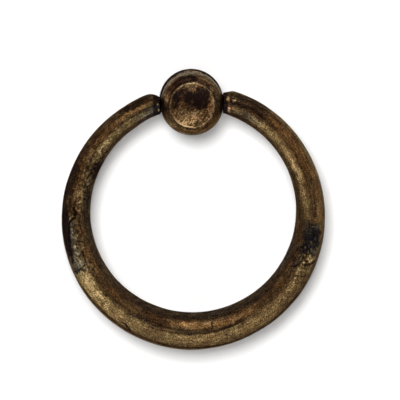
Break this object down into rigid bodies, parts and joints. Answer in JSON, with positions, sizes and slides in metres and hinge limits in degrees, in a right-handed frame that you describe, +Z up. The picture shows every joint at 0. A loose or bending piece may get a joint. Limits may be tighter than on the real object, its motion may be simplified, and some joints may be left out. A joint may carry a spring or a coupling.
{
  "type": "drop pull",
  "caption": "Drop ring pull for a drawer: a heavy tapered ring swings on pins in a dished ball post, which a screw from behind holds on the drawer front.",
  "frame": {"origin": "centre of the post's flat back, at the mouth of the screw hole, on the drawer front", "axes": "+Y into the drawer front along the screw hole, +Z up, the ring hangs along -Z and the pull faces -Y"},
  "size_m": [0.054, 0.0139, 0.0571],
  "materials": {
    "post_brass": "dark antiqued brass, rubbed bright on edges",
    "ring_brass": "dark antiqued brass, rubbed through where it is handled"
  },
  "bodies": {
    "post": {"ball_post": "post_brass"},
    "swing_ring": {"ring": "ring_brass"}
  },
  "joints": [
    {"name": "ring_swing", "type": "hinge", "parent": "post", "child": "swing_ring", "pos_m": [0, -0.0095, 0], "axis": [-1, 0, 0], "range_deg": [-7, 187]}
  ]
}
